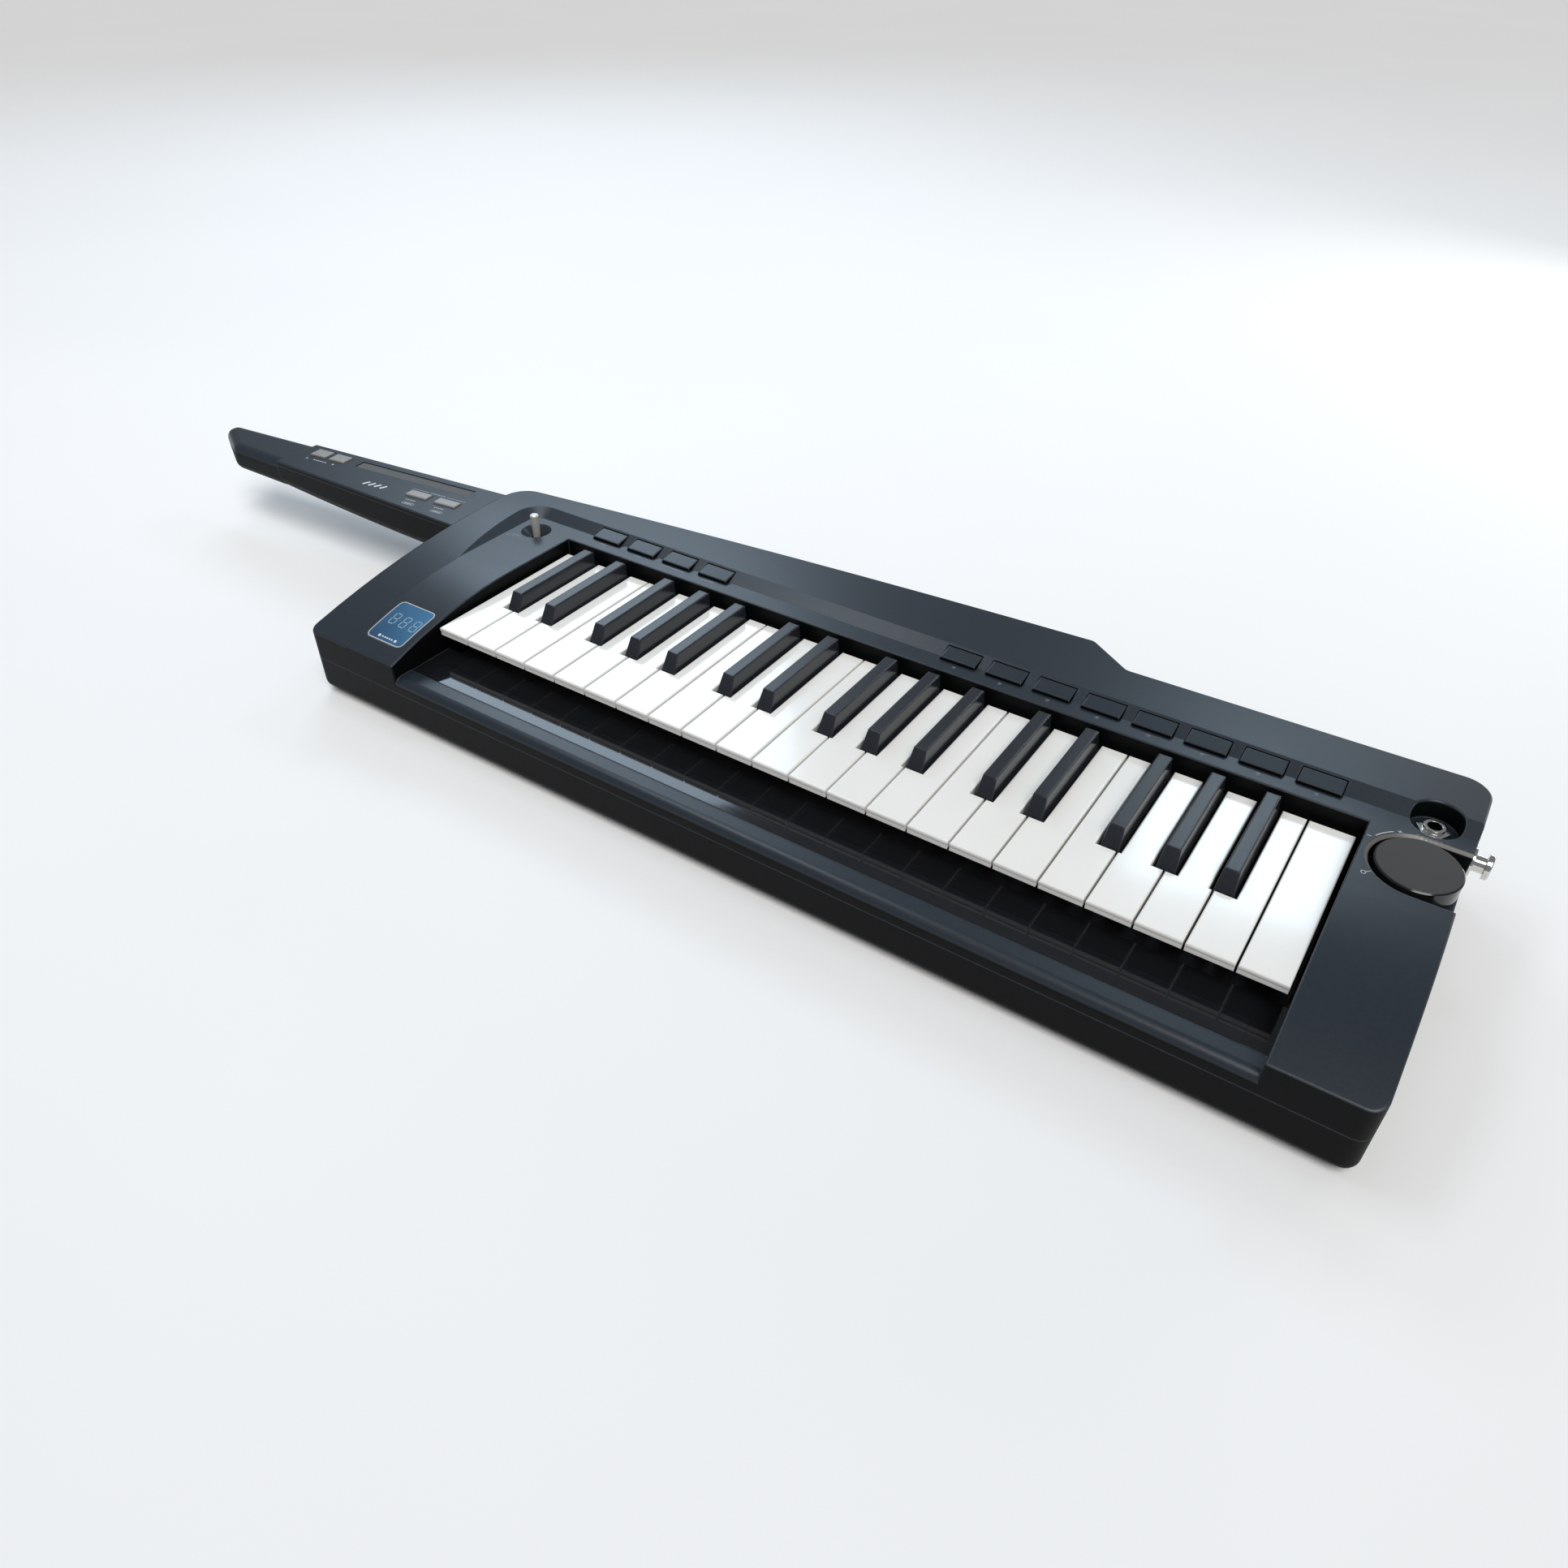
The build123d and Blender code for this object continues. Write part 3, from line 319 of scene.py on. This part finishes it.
def ebony_plastic(name):
    """Satin black key moulding: a fine lengthways grain on top, polished sides."""
    s = Sheet(name)
    where = s.place()
    lengthways = s.noise(s.stretched(where, (1500.0, 90.0, 900.0)), 1.0, 3.0)
    facing = s.add("ShaderNodeSeparateXYZ", None,
                   {0: s.add("ShaderNodeNewGeometry", output="Normal")}, "Z")
    top = facing > 0.9
    soft = s.rounded(0.0009)
    edge = s.edge(soft)
    colour = s.blend(lengthways, (0.012, 0.013, 0.016), (0.019, 0.022, 0.030))
    # Painted highlight: the rounded edges are lighter
    colour = s.blend(edge * 0.6, colour, (0.085, 0.090, 0.10))
    roughness = 0.20 + top * 0.10 + (lengthways - 0.5) * 0.08
    normal = s.bump(lengthways, 0.00003, 0.25, soft)
    return s.finish(colour, roughness, normal, Specular_IOR_Level=0.5)


def polished_metal(name, colour, roughness, metallic=1.0):
    """Plated metal with faint turning marks."""
    s = Sheet(name)
    where = s.place()
    marks = s.noise(s.stretched(where, (200.0, 200.0, 4200.0)), 1.0, 3.0)
    smear = s.noise(where, 260.0, 2.0)
    shade = s.blend(smear, colour, tuple(c * 0.82 for c in colour))
    soft = s.rounded(0.0003)
    normal = s.bump(marks, 0.00001, 0.06, soft)
    return s.finish(shade, roughness + smear * 0.10, normal, Metallic=metallic)


def moulded_black(name, base=0.012, roughness=0.42, grain_size=900.0):
    """Plain moulded plastic or rubber with a fine spark-eroded texture."""
    s = Sheet(name)
    where = s.place()
    grain = s.noise(where, grain_size, 3.0, 0.65)
    cloud = s.noise(where, 40.0, 2.0)
    soft = s.rounded(0.0005)
    colour = s.blend(cloud, (base, base, base * 1.06), (base * 1.7, base * 1.7, base * 1.8))
    normal = s.bump(grain, 0.00008, 0.5, soft)
    return s.finish(colour, roughness + (grain - 0.5) * 0.15, normal)


def touch_film(name, base, worn):
    """Glossy touch strip with a faint sheen of finger wear along its middle."""
    s = Sheet(name)
    where = s.place()
    wear = s.noise(s.stretched(where, (40.0, 420.0, 1.0)), 1.0, 3.0)
    dust = s.noise(where, 2400.0, 1.0)
    colour = s.blend(wear * 0.5, base, worn)
    colour = s.blend(dust > 0.74, colour, tuple(c * 1.6 for c in worn))
    return s.finish(colour, 0.03 + wear * 0.05, s.bump(wear, 0.00001, 0.1))


# The display window's left front corner and its size
WINDOW_CORNER = (-36.0, -24.0)
WINDOW_SIZE = (29.0, 31.0)


def display_lens(name):
    """Blue smoked window, darker at the left and lighter towards the right rear as a painted
    reflection, with fine protective film.
    """
    s = Sheet(name)
    where = s.place()
    x, y = s.along(where)[:2]
    film = s.noise(where, 2600.0, 2.0)
    spread = s.noise(where, 60.0, 2.0)
    # Painted reflection: the blue lightens towards the right and the rear
    rightward = (x - WINDOW_CORNER[0]) / WINDOW_SIZE[0]
    rearward = (y - WINDOW_CORNER[1]) / WINDOW_SIZE[1]
    sheen_across = rightward * 0.55 + rearward * 0.45
    colour = s.blend(sheen_across * 0.9 + (spread - 0.5) * 0.25,
                     (0.010, 0.045, 0.105), (0.050, 0.190, 0.360))
    colour = s.blend(film * 0.22, colour, (0.060, 0.160, 0.280))
    soft = s.rounded(0.0004)
    return s.finish(colour, 0.16 + film * 0.10, s.bump(film, 0.00001, 0.2, soft), Coat_Weight=0.5)


def circuit_board(name):
    """Green solder mask with copper tracks under it."""
    s = Sheet(name)
    where = s.place()
    cells = s.add("ShaderNodeTexVoronoi", {"feature": "DISTANCE_TO_EDGE", "distance": "MANHATTAN"},
                  {"Vector": where, "Scale": 240.0}, "Distance")
    tracks = cells < 0.07
    colour = s.blend(tracks, (0.006, 0.060, 0.022), (0.020, 0.130, 0.050))
    return s.finish(colour, 0.30 + tracks * 0.1, s.bump(tracks, 0.00003, 0.4))


KNOB_RIM = (0.010, 0.0105, 0.012)
KNOB_FACE = (0.026, 0.026, 0.026)
KNOB_CHAMFER_HEIGHT = 0.25


def knob_paint(name):
    """Matte grey face and a glossy black rim."""
    s = Sheet(name)
    where = s.place()
    z = s.along(where)[2]
    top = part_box("volume_knob")[1].z
    face = z > (top - DATUM.z) / MM - KNOB_CHAMFER_HEIGHT
    grain = s.noise(where, 1500.0, 3.0, 0.6)
    cloud = s.noise(where, 45.0, 2.0)
    colour = s.blend(face, KNOB_RIM, KNOB_FACE)
    colour = s.blend(cloud * 0.3, colour, (0.020, 0.020, 0.020))
    colour = s.blend(1 - face, colour, KNOB_RIM)
    roughness = face * 0.38 + 0.10 + grain * 0.06
    normal = s.bump(grain, 0.00004, 0.3)
    return s.finish(colour, roughness, normal)


def silver_plastic(name):
    """Silver grey button moulding with fine metallic flake."""
    s = Sheet(name)
    where = s.place()
    flake = s.noise(where, 3600.0, 2.0, 0.7)
    soft = s.rounded(0.0006)
    edge = s.edge(soft)
    colour = s.blend(flake, (0.24, 0.24, 0.235), (0.36, 0.355, 0.345))
    # Painted highlight: the rounded edges are lighter
    colour = s.blend(edge * 0.5, colour, (0.55, 0.54, 0.52))
    return s.finish(colour, 0.34 + flake * 0.10, s.bump(flake, 0.00002, 0.2, soft), Metallic=0.25)


def screen_ink(name, colour):
    """Screen printed ink, a little uneven."""
    s = Sheet(name)
    where = s.place()
    patch = s.noise(where, 1700.0, 3.0, 0.6)
    thin = tuple(c * 0.62 for c in colour)
    return s.finish(s.blend(patch, thin, colour), 0.45 + patch * 0.1, s.bump(patch, 0.00001, 0.3))


def studio_floor(name):
    s = Sheet(name)
    where = s.place()
    cloud = s.noise(where, 3.0, 3.0)
    grain = s.noise(where, 400.0, 2.0)
    colour = s.blend(cloud, (0.86, 0.86, 0.86), (0.90, 0.90, 0.895))
    return s.finish(colour, 0.62 + grain * 0.1, s.bump(grain, 0.00005, 0.1))


paint = satin_paint("case_paint")
under_paint = satin_paint("under_paint", False)
finishes = {
    "body": paint,
    "ivory": ivory_plastic("key_ivory"),
    "ebony": ebony_plastic("key_ebony"),
    "chrome": polished_metal("polished_chrome", (0.78, 0.77, 0.75), 0.05),
    "zinc": polished_metal("zinc_plate", (0.52, 0.53, 0.55), 0.24),
    "rubber": moulded_black("foot_rubber", 0.018, 0.62, 700.0),
    "black_plastic": moulded_black("frame_plastic"),
    "ribbon": touch_film("touch_film", (0.006, 0.0065, 0.008), (0.016, 0.018, 0.022)),
    "display": display_lens("window_blue"),
    "board": circuit_board("board_green"),
    "knob": knob_paint("knob_paint"),
    "silver_cap": silver_plastic("cap_silver"),
}
neck_film = touch_film("neck_film", (0.105, 0.112, 0.118), (0.140, 0.147, 0.152))
bat_metal = polished_metal("bat_metal", (0.74, 0.72, 0.67), 0.30, 0.45)
own_finishes = {
    "bottom_case": under_paint,
    "battery_door": under_paint,
    "neck_grip": under_paint,
    "neck_base": under_paint,
    "short_ribbon": neck_film,
    "program_toggle": bat_metal,
}
light_ink = screen_ink("light_ink", (0.50, 0.53, 0.56))
dim_ink = screen_ink("dim_ink", (0.20, 0.23, 0.27))
white_ink = screen_ink("white_ink", (0.80, 0.82, 0.84))
digit_ink = screen_ink("digit_grey", (0.27, 0.42, 0.55))

for part in frame["record"]["subparts"]:
    piece = frame["nodes"][part["node"]]
    finish = own_finishes.get(part["node"], finishes[part["material_slot"]])
    for held in piece.material_slots:
        held.material = finish


# ---------------------------------------------------------------- printed marks
MARK_STEP = 1.5


def surface_of(*names):
    """The upper surfaces of some nodes, for laying marks on them."""
    trees = []
    for name in names:
        mesh = frame["nodes"][name].data
        trees.append(BVHTree.FromPolygons([v.co.copy() for v in mesh.vertices],
                                          [tuple(p.vertices) for p in mesh.polygons]))
    return trees


def height_at(trees, point, lift):
    tops = []
    for tree in trees:
        hit = tree.ray_cast(Vector((point.x, point.y, 1.0)), Vector((0, 0, -1)))
        if hit[0] is not None:
            tops.append(hit[0].z)
    return (max(tops) if tops else point.z) + lift


class Marks:
    """Flat printed marks gathered into one mesh that lies on the surface under them."""

    def __init__(self, name, ink, body, lift=0.04, under=()):
        self.name, self.ink, self.body, self.lift = name, ink, body, lift * MM
        self.trees = surface_of(*under)
        self.mesh = bmesh.new()

    def patch(self, outline):
        """A filled outline that follows the surface under its edge."""
        spots = []
        for x, y in self.divided(outline, True):
            spot = at(x, y)
            spot.z = height_at(self.trees, spot, self.lift)
            spots.append(self.mesh.verts.new(spot))
        self.mesh.faces.new(spots)

    def divided(self, points, closed):
        """The same line in steps no longer than two MARK_STEPs, so that it follows a curve."""
        ends = points[1:] + points[:1] if closed else points[1:]
        finer = []
        for a, b in zip(points, ends):
            steps = max(1, int(math.dist(a, b) / MARK_STEP))
            finer += [(a[0] + (b[0] - a[0]) * i / steps, a[1] + (b[1] - a[1]) * i / steps)
                      for i in range(steps)]
        return finer if closed else finer + points[-1:]

    def strip(self, points, width, closed=False):
        """A line of even width through some points."""
        points = self.divided(points, closed)
        count = len(points)
        sides = []
        for i, (x, y) in enumerate(points):
            before = points[i - 1] if closed or i else points[i]
            after = points[(i + 1) % count] if closed or i < count - 1 else points[i]
            dx, dy = after[0] - before[0], after[1] - before[1]
            length = math.hypot(dx, dy)
            nx, ny = -dy / length * width / 2, dx / length * width / 2
            pair = []
            for side in (1, -1):
                spot = at(x + nx * side, y + ny * side)
                spot.z = height_at(self.trees, spot, self.lift)
                pair.append(self.mesh.verts.new(spot))
            sides.append(pair)
        last = count if closed else count - 1
        for i in range(last):
            a, b = sides[i], sides[(i + 1) % count]
            self.mesh.faces.new((a[0], a[1], b[1], b[0]))

    def bar(self, x, y, length, width, slant=0.0):
        half, thick = length / 2, width / 2
        ux, uy = math.cos(slant), math.sin(slant)
        self.patch([(x + ux * a - uy * b, y + uy * a + ux * b)
                    for a, b in ((-half, -thick), (half, -thick), (half, thick), (-half, thick))])

    def dot(self, x, y, radius, sides=20):
        self.patch([(x + radius * math.cos(2 * math.pi * i / sides),
                     y + radius * math.sin(2 * math.pi * i / sides)) for i in range(sides)])

    def ring(self, x, y, radius, width, start=0.0, sweep=360.0, steps=24):
        whole = sweep >= 360.0
        count = steps if whole else steps + 1
        turn = [math.radians(start + sweep * i / steps) for i in range(count)]
        self.strip([(x + radius * math.cos(a), y + radius * math.sin(a)) for a in turn],
                   width, whole)

    def done(self):
        bmesh.ops.recalc_face_normals(self.mesh, faces=self.mesh.faces[:])
        for face in self.mesh.faces:
            if face.normal.z < 0:
                face.normal_flip()
        mesh = bpy.data.meshes.new(self.name)
        self.mesh.to_mesh(mesh)
        self.mesh.free()
        mesh.materials.append(self.ink)
        piece = bpy.data.objects.new(self.name, mesh)
        bpy.context.scene.collection.objects.link(piece)
        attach(piece, self.body)
        return piece


def rounded_box(x_low, x_high, y_low, y_high, radius, steps=6):
    points = []
    corners = ((x_high - radius, y_high - radius, 0), (x_low + radius, y_high - radius, 90),
               (x_low + radius, y_low + radius, 180), (x_high - radius, y_low + radius, 270))
    for cx, cy, start in corners:
        for i in range(steps + 1):
            a = math.radians(start + 90 * i / steps)
            points.append((cx + radius * math.cos(a), cy + radius * math.sin(a)))
    return points


def segment_digit(marks, x, y, width, height, thick, lean):
    """An unlit seven-segment figure: hexagonal bars with a gap at each joint."""
    def lay(cx, cy, length, upright):
        h, t = length / 2 - thick * 0.32, thick / 2
        shape = ((-h, 0), (-h + t, -t), (h - t, -t), (h, 0), (h - t, t), (-h + t, t))
        points = [(cx + (-b if upright else a), cy + (a if upright else b)) for a, b in shape]
        marks.patch([(px + (py - y) * lean, py) for px, py in points])

    for row in (-1, 0, 1):
        lay(x, y + row * height / 2, width, False)
    for row in (-1, 1):
        for side in (-1, 1):
            lay(x + side * width / 2, y + row * height / 4, height / 2, True)


DIGIT_FIRST_X, DIGIT_PITCH, DIGIT_FROM_REAR = 7.6, 8.2, 13.6
DIGIT_WIDTH, DIGIT_HEIGHT, DIGIT_LINE, DIGIT_LEAN = 4.1, 8.0, 0.7, 0.04
WINDOW_ROW = 3.2
window_low, window_high = [(corner - DATUM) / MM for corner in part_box("display_window")]
glass = ("display_window", "top_case")
outline = Marks("window_outline", light_ink, "case", 0.05, glass)
inset = 0.45
outline.strip(rounded_box(window_low.x + inset, window_high.x - inset,
                          window_low.y + inset, window_high.y - inset, 3.2), 0.7, True)
outline.done()
digits = Marks("window_digits", digit_ink, "case", 0.05, glass)
for index in range(3):
    segment_digit(digits, window_low.x + DIGIT_FIRST_X + index * DIGIT_PITCH,
                  window_high.y - DIGIT_FROM_REAR,
                  DIGIT_WIDTH, DIGIT_HEIGHT, DIGIT_LINE, DIGIT_LEAN)
digits.done()
dots = Marks("window_dots", white_ink, "case", 0.05, glass)
for x in (8.9, 21.6):
    dots.dot(window_low.x + x, window_low.y + WINDOW_ROW, 0.95)
for index in range(5):
    dots.bar(window_low.x + 11.6 + index * 1.8, window_low.y + WINDOW_ROW, 1.2, 0.9)
dots.done()

labels = Marks("panel_marks", dim_ink, "case", 0.04, ("top_case",))
FUNCTION_X, FUNCTION_PITCH, FUNCTION_LABEL_Y = 20.9, 27.3, 118.0
PROGRAM_X, PROGRAM_PITCH, PROGRAM_LABEL_Y = 265.0, 26.75, 117.6
for index, width in enumerate((5.0, 5.4, 17.0, 6.4)):
    labels.bar(FUNCTION_X + index * FUNCTION_PITCH, FUNCTION_LABEL_Y, width, 0.9)
last_function = FUNCTION_X + 3 * FUNCTION_PITCH
labels.strip(rounded_box(last_function - 5.0, last_function + 5.0,
                         FUNCTION_LABEL_Y - 1.1, FUNCTION_LABEL_Y + 1.1, 0.9), 0.25, True)
for index in range(8):
    labels.bar(PROGRAM_X + index * PROGRAM_PITCH, PROGRAM_LABEL_Y, 1.7, 0.7)
    labels.bar(PROGRAM_X + index * PROGRAM_PITCH, PROGRAM_LABEL_Y - 1.2, 1.7, 0.35)
toggle_x, toggle_y = middle("program_toggle")
labels.bar(toggle_x - 6.0, toggle_y - 11.2, 7.0, 0.9)
labels.strip(rounded_box(toggle_x - 12.0, toggle_x + 0.5, toggle_y - 14.4, toggle_y - 12.6, 0.8),
             0.3, True)
labels.dot(toggle_x + 11.2, toggle_y + 1.6, 0.5)
labels.bar(toggle_x + 9.0, toggle_y - 8.0, 1.6, 0.5, -0.7)
labels.done()

knob_x, knob_y = middle("volume_knob")
volume = Marks("volume_marks", light_ink, "case", 0.04, ("top_case",))
volume.ring(knob_x, knob_y, 22.6, 0.55, 128.0, 24.0, 10)
for angle, radius, crossed in ((158.0, 24.2, False), (121.0, 22.4, True)):
    a = math.radians(angle)
    px, py = knob_x + radius * math.cos(a), knob_y + radius * math.sin(a)
    volume.bar(px, py, 1.9, 0.45)
    if crossed:
        volume.bar(px, py, 1.9, 0.45, math.pi / 2)
low_end = math.radians(222.0)
volume.ring(knob_x + 25.6 * math.cos(low_end), knob_y + 25.6 * math.sin(low_end), 1.0, 0.4)
volume.strip([(knob_x + r * math.cos(low_end), knob_y + r * math.sin(low_end))
              for r in (22.1, 24.5)], 0.4)
for index, width in enumerate((1.6, 1.3, 1.0, 1.6, 1.5, 1.2)):
    volume.bar(knob_x - 4.6 + index * 1.95, knob_y + 21.0 + index * 0.1, width, 1.1)
volume.done()

NECK_SLOPE = 0.101
neck = Marks("neck_marks", light_ink, "case", 0.04, ("neck_cover",))
lean = math.atan(NECK_SLOPE)
for node in ("ribbon_pitch_button", "ribbon_filter_button"):
    cap_x, cap_y = middle(node)
    for index in range(5):
        neck.bar(cap_x - 3.0 + index * 1.65, cap_y - 8.2 + index * 0.17, 1.15, 1.0, lean)
    pill = rounded_box(-4.6, 4.6, -1.15, 1.15, 1.0)
    neck.strip([(cap_x + 2.6 + px * math.cos(lean) - py * math.sin(lean),
                 cap_y - 12.2 + px * math.sin(lean) + py * math.cos(lean)) for px, py in pill],
               0.35, True)
    neck.bar(cap_x + 2.6, cap_y - 12.2, 6.4, 0.8, lean)
line_x, line_y = middle("ribbon_pitch_button")
for start, end in ((-12.0, 2.0), (17.0, 33.0)):
    neck.bar(line_x + (start + end) / 2, line_y + 6.9 + (start + end) / 2 * NECK_SLOPE,
             end - start, 0.35, lean)
for index in range(6):
    neck.bar(line_x + 4.2 + index * 2.1, line_y + 7.4 + index * 0.21, 1.4, 0.8, lean)
down_x, down_y = middle("octave_down_button")
for offset, way in ((-4.2, -1.0), (19.5, 1.0)):
    px, py = down_x + offset, down_y - 9.6 + offset * NECK_SLOPE
    neck.patch([(px - 1.1, py + 0.9 * way), (px, py - 1.1 * way), (px + 1.1, py + 0.9 * way)])
for index in range(6):
    neck.bar(down_x + 2.2 + index * 2.1, down_y - 9.3 + index * 0.21, 1.4, 1.1, lean)
neck.done()
emblem = Marks("neck_emblem", white_ink, "case", 0.04, ("neck_cover",))
for index in range(4):
    emblem.bar(down_x + 62.0 + index * 5.0, down_y - 14.0 + index * 0.5, 5.2, 1.8, lean + 1.05)
emblem.done()


# ---------------------------------------------------------------- studio
def soft_light(name, place, aim, size, power, colour):
    """A panel of light. Its place and the spot it faces are in metres."""
    data = bpy.data.lights.new(name, "AREA")
    data.shape = "RECTANGLE"
    data.size, data.size_y = size
    data.energy = power
    data.color = colour
    lamp = bpy.data.objects.new(name, data)
    lamp.location = place
    lamp.rotation_mode = "QUATERNION"
    lamp.rotation_quaternion = (Vector(aim) - Vector(place)).to_track_quat("-Z", "Y")
    bpy.context.scene.collection.objects.link(lamp)


def make_floor():
    """The pale studio floor, far wider than any view of the object."""
    mesh = bpy.data.meshes.new("studio_floor")
    shape = bmesh.new()
    bmesh.ops.create_grid(shape, x_segments=8, y_segments=8, size=30.0)
    shape.to_mesh(mesh)
    shape.free()
    floor = bpy.data.objects.new("studio_floor", mesh)
    mesh.materials.append(studio_floor("floor_white"))
    bpy.context.scene.collection.objects.link(floor)


def wide_light(name, source, strength, angle, colour):
    """Even light from one side of the sky, over the object and the whole floor."""
    data = bpy.data.lights.new(name, "SUN")
    data.energy = strength
    data.angle = math.radians(angle)
    data.color = colour
    lamp = bpy.data.objects.new(name, data)
    lamp.rotation_mode = "QUATERNION"
    lamp.rotation_quaternion = (-Vector(source)).to_track_quat("-Z", "Y")
    bpy.context.scene.collection.objects.link(lamp)


make_floor()
wide_light("over_shoulder", (0.40, -0.45, 1.0), 2.1, 38.0, (1.0, 0.99, 0.97))
soft_light("rear_sky", (-1.3, 1.3, 1.3), (-0.15, 0, 0), (0.9, 0.6), 8, (0.66, 0.83, 1.0))
soft_light("left_ceiling", (-0.50, -0.02, 1.30), (-0.10, 0, 0), (0.7, 0.35), 3.5,
           (0.84, 0.92, 1.0))
soft_light("right_window", (0.185, 1.306, 1.07), (0.30, 0, 0), (0.34, 0.24), 1.9,
           (0.66, 0.84, 1.0))
soft_light("rear_strip", (0.75, 1.2, 0.35), (0.25, 0, 0.04), (0.9, 0.12), 2.5, (1.0, 0.95, 0.88))
world = bpy.data.worlds.new("studio_air")
world.use_nodes = True
world.node_tree.nodes["Background"].inputs[0].default_value = (0.92, 0.95, 1.0, 1.0)
world.node_tree.nodes["Background"].inputs[1].default_value = 0.24
bpy.context.scene.world = world
bpy.context.scene.view_settings.view_transform = "Standard"

bpy.context.view_layer.update()
